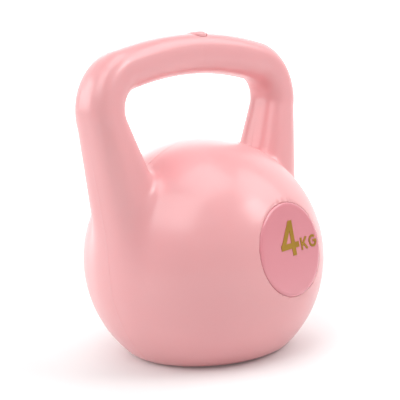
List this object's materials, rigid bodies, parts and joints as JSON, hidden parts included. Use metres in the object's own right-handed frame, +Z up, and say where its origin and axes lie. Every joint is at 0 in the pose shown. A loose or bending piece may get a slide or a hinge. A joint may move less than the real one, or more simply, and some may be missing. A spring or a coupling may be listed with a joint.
{
  "type": "kettlebell",
  "caption": "Moulded plastic kettlebell filled with mortar: ball with a flat base, wide loop handle, plug in the crown and a round weight label on the ball.",
  "frame": {"origin": "the middle of the flat base, on the surface that the kettlebell stands on", "axes": "+Z up through the middle of the handle's bar; X runs along the bar; the weight label faces -Y"},
  "size_m": [0.1702, 0.1481, 0.1966],
  "materials": {
    "shell_plastic": "satin",
    "mortar": "matte",
    "plug_plastic": "satin",
    "label_film": "gloss",
    "gold_foil": "satin"
  },
  "bodies": {
    "root": {"moulded_shell": "shell_plastic", "mortar_core": "mortar", "fill_plug": "plug_plastic", "front_label": "label_film", "weight_figure": "gold_foil", "unit_letter_k": "gold_foil", "unit_letter_g": "gold_foil"}
  },
  "joints": []
}
